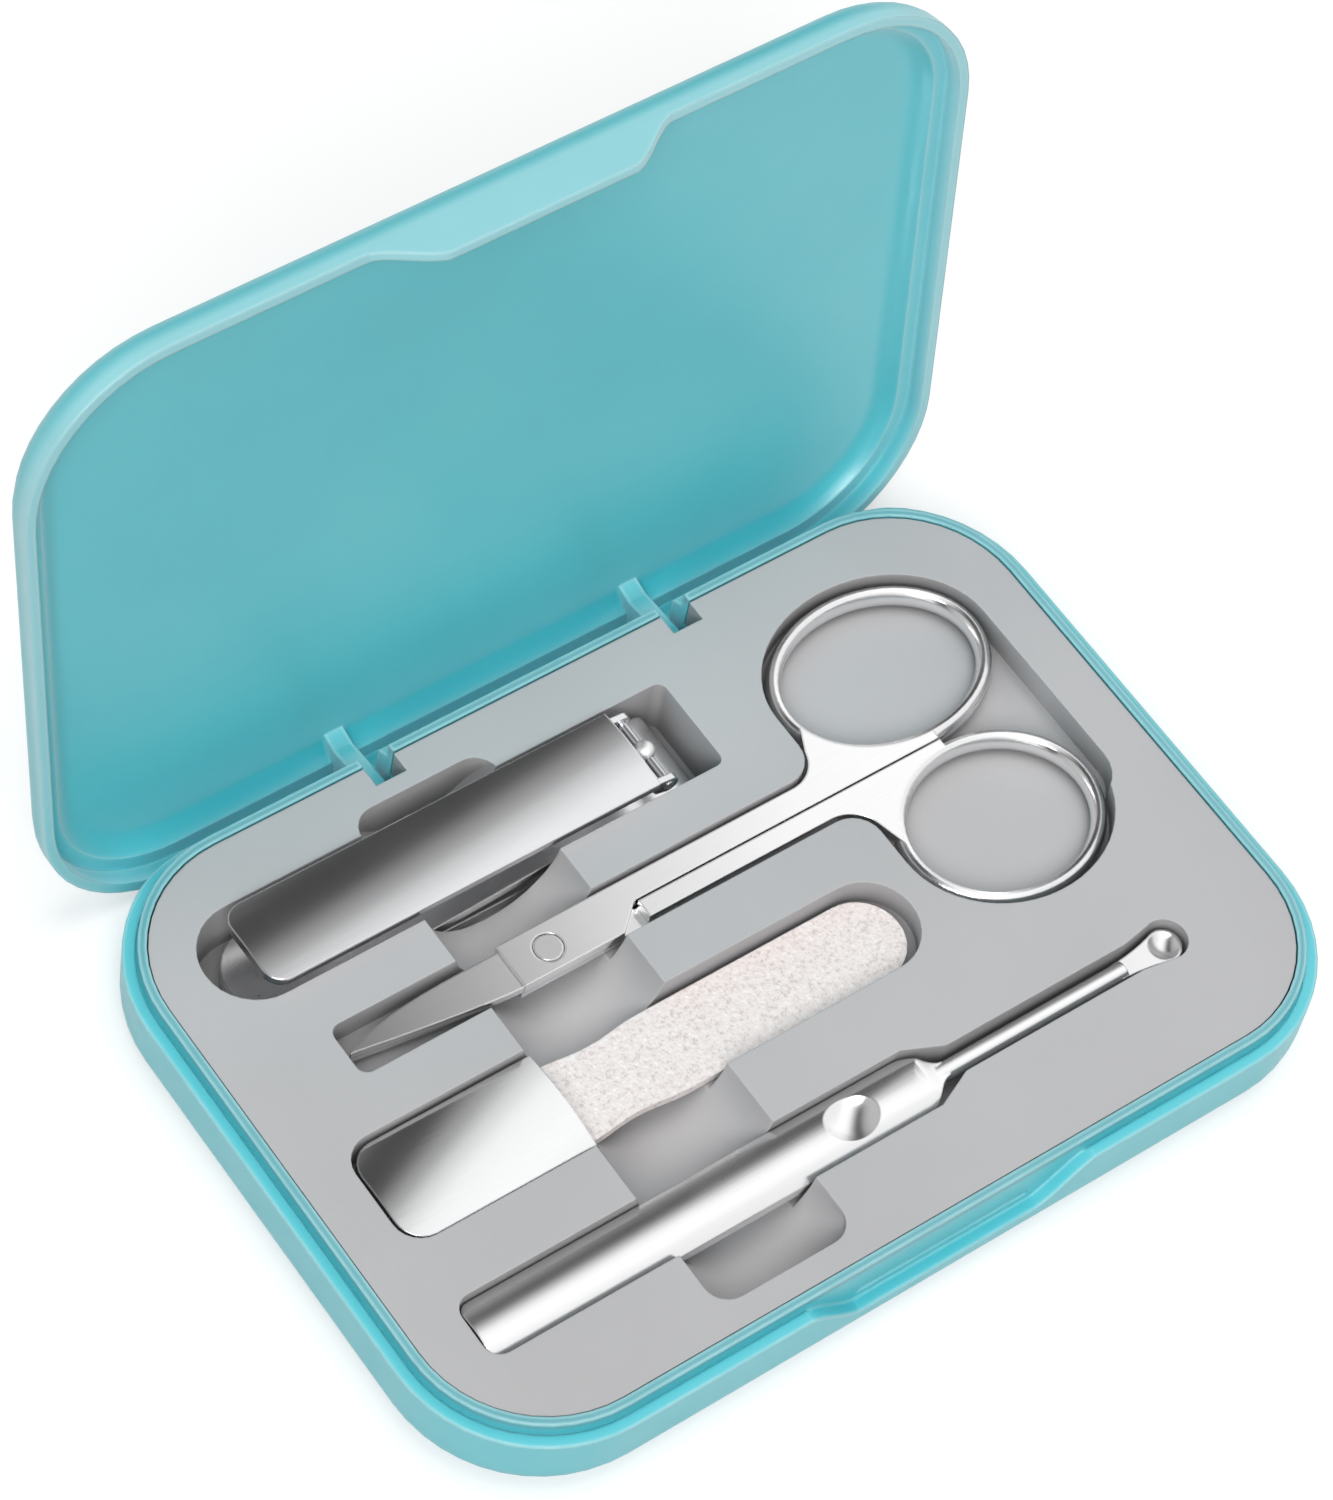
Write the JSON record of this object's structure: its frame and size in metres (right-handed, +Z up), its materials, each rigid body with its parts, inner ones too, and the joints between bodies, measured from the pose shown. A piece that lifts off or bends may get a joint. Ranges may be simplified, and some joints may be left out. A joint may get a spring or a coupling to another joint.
{
  "type": "manicure set case",
  "caption": "Flat rounded pocket case with a hinged lid and a grey tray that holds a nail clipper, nail scissors, a nail file and an ear pick.",
  "frame": {"origin": "middle of the underside of the base", "axes": "+X along the case's length towards the scissors' finger rings, +Y across it towards the hinge, +Z up; the lid is stored open on its stop"},
  "size_m": [0.1064, 0.0892, 0.0754],
  "materials": {
    "shell": "turquoise moulded plastic with a fine satin grain",
    "tray": "light grey moulded plastic, matt",
    "polished_steel": "bright polished plating",
    "satin_steel": "polished steel with a fine satin",
    "pin_steel": "plain drawn steel wire",
    "abrasive": "off-white abrasive grit on a thin steel plate"
  },
  "bodies": {
    "case": {"base_shell": "shell", "tray_insert": "tray", "hinge_pin_left": "pin_steel", "hinge_pin_right": "pin_steel"},
    "lid": {"lid_shell": "shell"},
    "clipper": {"clipper_lower_arm": "polished_steel", "clipper_tail_rivet": "polished_steel"},
    "clipper_jaw": {"clipper_upper_arm": "polished_steel"},
    "clipper_swivel": {"clipper_post": "polished_steel", "clipper_cross_pin": "pin_steel"},
    "clipper_handle": {"clipper_lever": "polished_steel"},
    "scissors": {"scissors_rivet": "satin_steel"},
    "scissors_rear": {"scissors_rear_half": "satin_steel"},
    "scissors_front": {"scissors_front_half": "satin_steel"},
    "nail_file": {"file_blade": "abrasive", "file_handle": "polished_steel"},
    "pick": {"ear_pick": "polished_steel"}
  },
  "joints": [
    {"name": "lid_hinge", "type": "hinge", "parent": "case", "child": "lid", "pos_m": [0, 0.0344, 0.0042], "axis": [-1, 0, 0], "range_deg": [-97, 0]},
    {"name": "clipper_lift", "type": "slide", "parent": "case", "child": "clipper", "axis": [0, 0, 1], "range_m": [0, 0.07]},
    {"name": "jaw_squeeze", "type": "hinge", "parent": "clipper", "child": "clipper_jaw", "pos_m": [-0.0361, 0.0227, 0.0044], "axis": [0, 1, 0], "range_deg": [0, 1.4], "stiffness_Nm_per_rad": 5},
    {"name": "post_swivel", "type": "hinge", "parent": "clipper", "child": "clipper_swivel", "pos_m": [0.0056, 0.0227, 0.0033], "axis": [0, 0, 1], "range_deg": [0, 180]},
    {"name": "lever_flip", "type": "hinge", "parent": "clipper_swivel", "child": "clipper_handle", "pos_m": [0.0056, 0.0227, 0.0093], "axis": [0, 1, 0], "range_deg": [0, 148]},
    {"name": "scissors_lift", "type": "slide", "parent": "case", "child": "scissors", "axis": [0, 0, 1], "range_m": [0, 0.12]},
    {"name": "rear_half_turn", "type": "hinge", "parent": "scissors", "child": "scissors_rear", "pos_m": [-0.0155, 0.0088, 0.0081], "axis": [0, 0, 1], "range_deg": [0, 15]},
    {"name": "front_half_turn", "type": "hinge", "parent": "scissors", "child": "scissors_front", "pos_m": [-0.0155, 0.0088, 0.0081], "axis": [0, 0, -1], "range_deg": [0, 15]},
    {"name": "file_lift", "type": "slide", "parent": "case", "child": "nail_file", "axis": [0, 0, 1], "range_m": [0, 0.045]},
    {"name": "pick_lift", "type": "slide", "parent": "case", "child": "pick", "axis": [0, 0, 1], "range_m": [0, 0.03]}
  ],
  "couplings": [
    {"joint": "rear_half_turn", "follows": "scissors_lift", "rad_per_m": 2.18},
    {"joint": "front_half_turn", "follows": "scissors_lift", "rad_per_m": 2.18}
  ]
}
